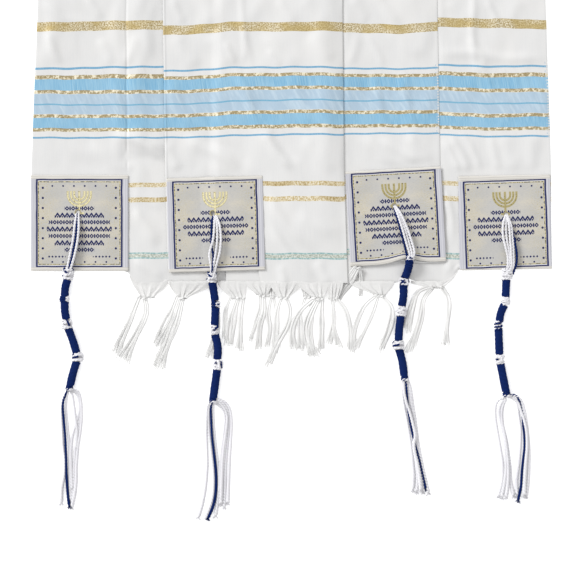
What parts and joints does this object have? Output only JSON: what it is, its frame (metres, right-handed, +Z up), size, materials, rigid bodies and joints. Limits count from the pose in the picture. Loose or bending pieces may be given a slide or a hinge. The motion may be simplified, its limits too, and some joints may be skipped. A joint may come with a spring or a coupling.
{
  "type": "tallit prayer shawl",
  "caption": "White striped prayer shawl, folded in half and laid flat with one end pleated on top, with square satin corner patches, knotted corner tassels and knotted fringe.",
  "frame": {"origin": "on the surface that the folded shawl lies on, under the middle of its overall box", "axes": "+X to the wearer's view right across the cloth, +Y from the tasselled ends towards the fold, +Z up from the surface"},
  "size_m": [0.5596, 1.1667, 0.0133],
  "materials": {
    "white_cloth": "soft white woven cloth with a slight satin sheen, woven gold, blue and pale blue stripes",
    "patch_satin": "silver-grey satin weave with navy and gold woven ornament",
    "white_yarn": "matt plied white yarn",
    "navy_yarn": "matt dark blue yarn"
  },
  "bodies": {
    "root": {"shawl_cloth": "white_cloth", "patch_1": "patch_satin", "patch_2": "patch_satin", "patch_3": "patch_satin", "patch_4": "patch_satin", "fringe_lower_1": "white_yarn", "fringe_lower_2": "white_yarn", "fringe_lower_3": "white_yarn", "fringe_lower_4": "white_yarn", "fringe_lower_5": "white_yarn", "fringe_lower_6": "white_yarn", "fringe_upper_1": "white_yarn", "fringe_upper_2": "white_yarn", "fringe_upper_3": "white_yarn", "fringe_upper_4": "white_yarn", "fringe_upper_5": "white_yarn", "fringe_upper_6": "white_yarn", "tzitzit_1_loop": "white_yarn", "tzitzit_1_winding_1": "navy_yarn", "tzitzit_1_winding_2": "navy_yarn", "tzitzit_1_winding_3": "navy_yarn", "tzitzit_1_winding_4": "navy_yarn", "tzitzit_1_knot_2": "white_yarn", "tzitzit_1_knot_3": "white_yarn", "tzitzit_1_knot_4": "white_yarn", "tzitzit_1_tail": "white_yarn", "tzitzit_2_loop": "white_yarn", "tzitzit_2_winding_1": "navy_yarn", "tzitzit_2_winding_2": "navy_yarn", "tzitzit_2_winding_3": "navy_yarn", "tzitzit_2_winding_4": "navy_yarn", "tzitzit_2_knot_2": "white_yarn", "tzitzit_2_knot_3": "white_yarn", "tzitzit_2_knot_4": "white_yarn", "tzitzit_2_tail": "white_yarn", "tzitzit_3_loop": "white_yarn", "tzitzit_3_winding_1": "navy_yarn", "tzitzit_3_winding_2": "navy_yarn", "tzitzit_3_winding_3": "navy_yarn", "tzitzit_3_winding_4": "navy_yarn", "tzitzit_3_knot_2": "white_yarn", "tzitzit_3_knot_3": "white_yarn", "tzitzit_3_knot_4": "white_yarn", "tzitzit_3_tail": "white_yarn", "tzitzit_4_loop": "white_yarn", "tzitzit_4_winding_1": "navy_yarn", "tzitzit_4_winding_2": "navy_yarn", "tzitzit_4_winding_3": "navy_yarn", "tzitzit_4_winding_4": "navy_yarn", "tzitzit_4_knot_2": "white_yarn", "tzitzit_4_knot_3": "white_yarn", "tzitzit_4_knot_4": "white_yarn", "tzitzit_4_tail": "white_yarn"}
  },
  "joints": []
}
